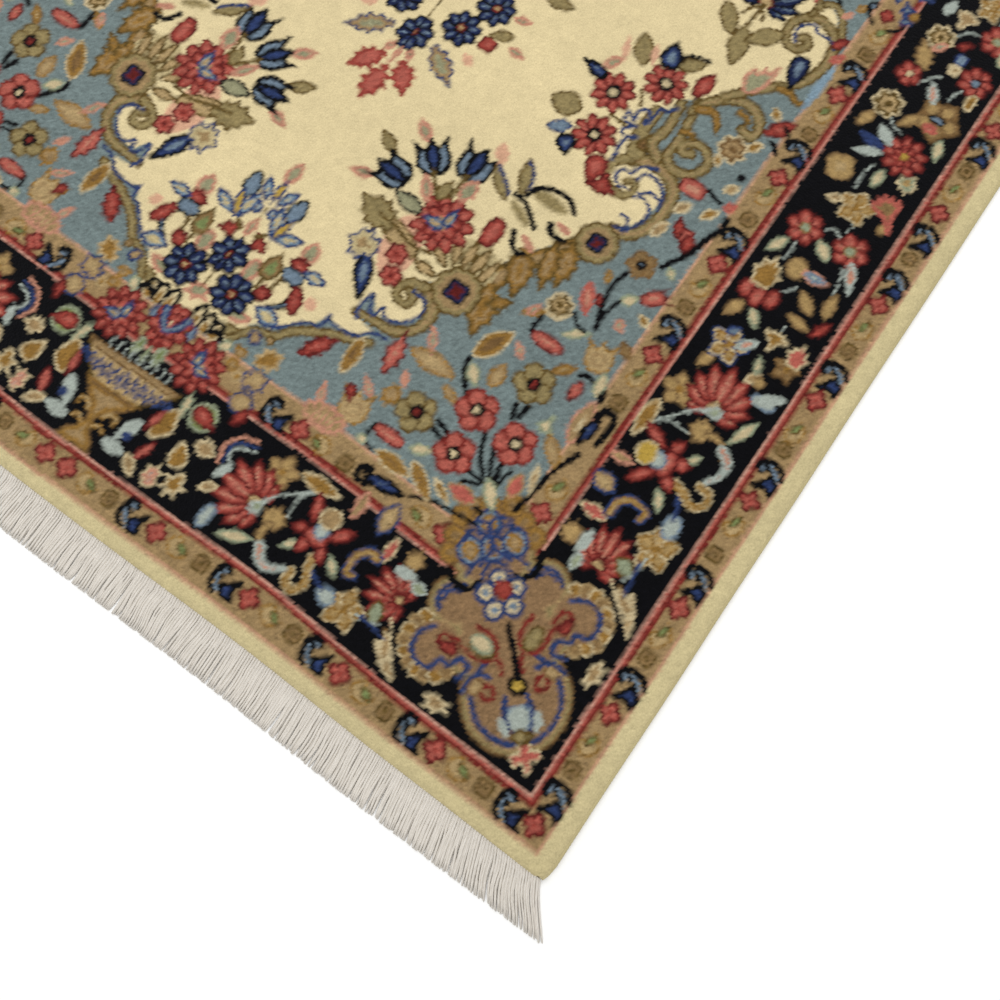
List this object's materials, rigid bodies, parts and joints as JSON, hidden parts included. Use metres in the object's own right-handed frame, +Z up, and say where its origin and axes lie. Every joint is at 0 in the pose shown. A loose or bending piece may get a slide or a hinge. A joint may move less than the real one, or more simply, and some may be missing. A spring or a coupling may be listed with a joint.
{
  "type": "persian rug",
  "caption": "Rectangular hand-knotted wool rug lying flat, with a floral field, corner pieces, a dark floral main border, narrow guards, overcast sides and fringed ends.",
  "frame": {"origin": "centre of the whole rug with its fringes, on the floor", "axes": "+X across the width, +Y along the length towards the far fringe, +Z up out of the pile"},
  "size_m": [1.2, 2.0883, 0.009],
  "materials": {
    "wool_pile": "clipped wool pile with a soft sheen",
    "wool_overcast": "wool yarn wrapped over the side warps",
    "cotton_warp": "plain twisted cotton, matt"
  },
  "bodies": {
    "root": {"pile_carpet": "wool_pile", "selvage_left": "wool_overcast", "selvage_right": "wool_overcast", "fringe_near": "cotton_warp", "fringe_far": "cotton_warp"}
  },
  "joints": []
}
